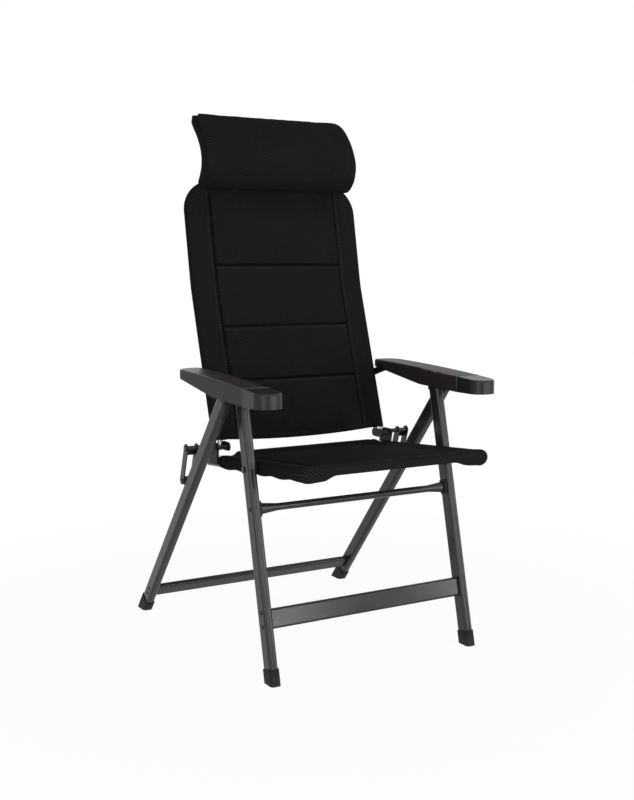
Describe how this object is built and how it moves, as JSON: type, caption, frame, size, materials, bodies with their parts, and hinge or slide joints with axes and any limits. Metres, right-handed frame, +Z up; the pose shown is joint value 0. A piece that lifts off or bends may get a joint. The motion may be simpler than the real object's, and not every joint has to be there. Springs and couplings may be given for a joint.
{
  "type": "folding camp chair",
  "caption": "Folding high-back camp chair with a reclining padded mesh back, hinged headrest, padded mesh seat and moulded armrests on an anthracite tube frame.",
  "frame": {"origin": "on the floor, in the middle of the open chair's outline", "axes": "+Z up, the sitter looks along -Y, +X is on the right of a viewer who stands in front of the chair"},
  "size_m": [0.6126, 0.7635, 1.2288],
  "materials": {
    "frame": "satin anthracite powder coat on aluminium tube",
    "bright_metal": "bright drawn tube",
    "black_steel": "blackened steel",
    "black_plastic": "matte moulded",
    "grey_plastic": "satin moulded",
    "arm_plastic": "satin moulded, warm dark grey",
    "arm_cap_plastic": "satin moulded, slightly darker",
    "foot_rubber": "matte",
    "mesh_cloth": "fine black mesh weave",
    "mesh_padding": "quilted black spacer mesh over foam"
  },
  "bodies": {
    "front_frame": {"front_leg_left": "frame", "front_leg_right": "frame", "front_foot_left": "foot_rubber", "front_foot_right": "foot_rubber", "front_leg_heads": "black_plastic", "front_lower_bar": "frame", "front_upper_bar": "frame", "upper_bar_saddles": "black_plastic", "front_frame_screws": "black_steel", "apex_pins": "black_steel", "apex_spacers": "black_plastic"},
    "rear_frame": {"rear_leg_left": "frame", "rear_leg_right": "frame", "rear_foot_left": "foot_rubber", "rear_foot_right": "foot_rubber", "rear_leg_heads": "black_plastic", "rear_bar": "frame", "rear_bar_screws": "black_steel", "link_ears": "black_plastic"},
    "link_pair": {"rear_link_left": "black_steel", "rear_link_right": "black_steel", "link_rivets": "black_steel"},
    "seat_frame": {"seat_rail_left": "frame", "seat_rail_right": "frame", "seat_front_tube": "frame", "seat_rear_brace": "frame", "rail_end_caps": "grey_plastic", "seat_pivot_pins": "black_steel", "seat_pivot_spacers": "black_plastic", "seat_hinge_plate_left": "black_plastic", "seat_hinge_plate_right": "black_plastic", "link_shafts": "black_steel", "seat_sleeve_left": "mesh_cloth", "seat_sleeve_right": "mesh_cloth", "seat_front_roll": "mesh_padding", "seat_sling": "mesh_cloth", "seat_pad": "mesh_padding"},
    "back_lever_pair": {"back_levers": "black_plastic", "back_bushes": "black_plastic"},
    "backrest": {"back_tube_left": "bright_metal", "back_tube_right": "bright_metal", "back_top_bar": "frame", "back_hinge_eyes": "bright_metal", "back_sleeve_left": "mesh_cloth", "back_sleeve_right": "mesh_cloth", "back_sling": "mesh_cloth", "back_pad": "mesh_padding", "arm_brackets": "black_plastic"},
    "arm_link_pair": {"arm_links": "black_plastic", "arm_bushes": "black_plastic"},
    "left_armrest": {"armrest_left": "arm_plastic", "armrest_cap_left": "arm_cap_plastic", "armrest_rack_left": "black_plastic"},
    "right_armrest": {"armrest_right": "arm_plastic", "armrest_cap_right": "arm_cap_plastic", "armrest_rack_right": "black_plastic"},
    "headrest": {"headrest_pad": "mesh_padding", "headrest_shell": "black_plastic", "headrest_hinges": "black_plastic"}
  },
  "joints": [
    {"name": "fold", "type": "hinge", "parent": "front_frame", "child": "seat_frame", "pos_m": [0, -0.172, 0.44], "axis": [-1, 0, 0], "range_deg": [0, 80]},
    {"name": "rear_close", "type": "hinge", "parent": "front_frame", "child": "rear_frame", "pos_m": [0, -0.143, 0.6], "axis": [-1, 0, 0], "range_deg": [0, 49]},
    {"name": "link_swing", "type": "hinge", "parent": "seat_frame", "child": "link_pair", "pos_m": [0, 0.046, 0.459], "axis": [-1, 0, 0], "range_deg": [0, 81]},
    {"name": "back_stay", "type": "hinge", "parent": "seat_frame", "child": "back_lever_pair", "pos_m": [0, 0.022, 0.459], "axis": [-1, 0, 0], "range_deg": [-80, 0]},
    {"name": "recline", "type": "hinge", "parent": "back_lever_pair", "child": "backrest", "pos_m": [0, 0.046, 0.459], "axis": [-1, 0, 0], "range_deg": [0, 36]},
    {"name": "arm_turn", "type": "hinge", "parent": "backrest", "child": "arm_link_pair", "pos_m": [0, 0.051, 0.619], "axis": [-1, 0, 0], "range_deg": [0, 80]},
    {"name": "armrest_left_follow", "type": "hinge", "parent": "arm_link_pair", "child": "left_armrest", "pos_m": [0, 0.075, 0.619], "axis": [-1, 0, 0], "range_deg": [-26, 0]},
    {"name": "armrest_right_follow", "type": "hinge", "parent": "arm_link_pair", "child": "right_armrest", "pos_m": [0, 0.075, 0.619], "axis": [-1, 0, 0], "range_deg": [-26, 0]},
    {"name": "headrest_fold", "type": "hinge", "parent": "backrest", "child": "headrest", "pos_m": [0, 0.20692, 1.06184], "axis": [-1, 0, 0], "range_deg": [0, 165]}
  ],
  "couplings": [
    {"joint": "rear_close", "follows": "fold", "ratio": 0.6087},
    {"joint": "link_swing", "follows": "fold", "ratio": 1.0073},
    {"joint": "back_stay", "follows": "fold", "ratio": -1},
    {"joint": "arm_turn", "follows": "fold", "ratio": 1},
    {"joint": "armrest_left_follow", "follows": "recline", "ratio": -0.7135},
    {"joint": "armrest_right_follow", "follows": "recline", "ratio": -0.7135}
  ]
}
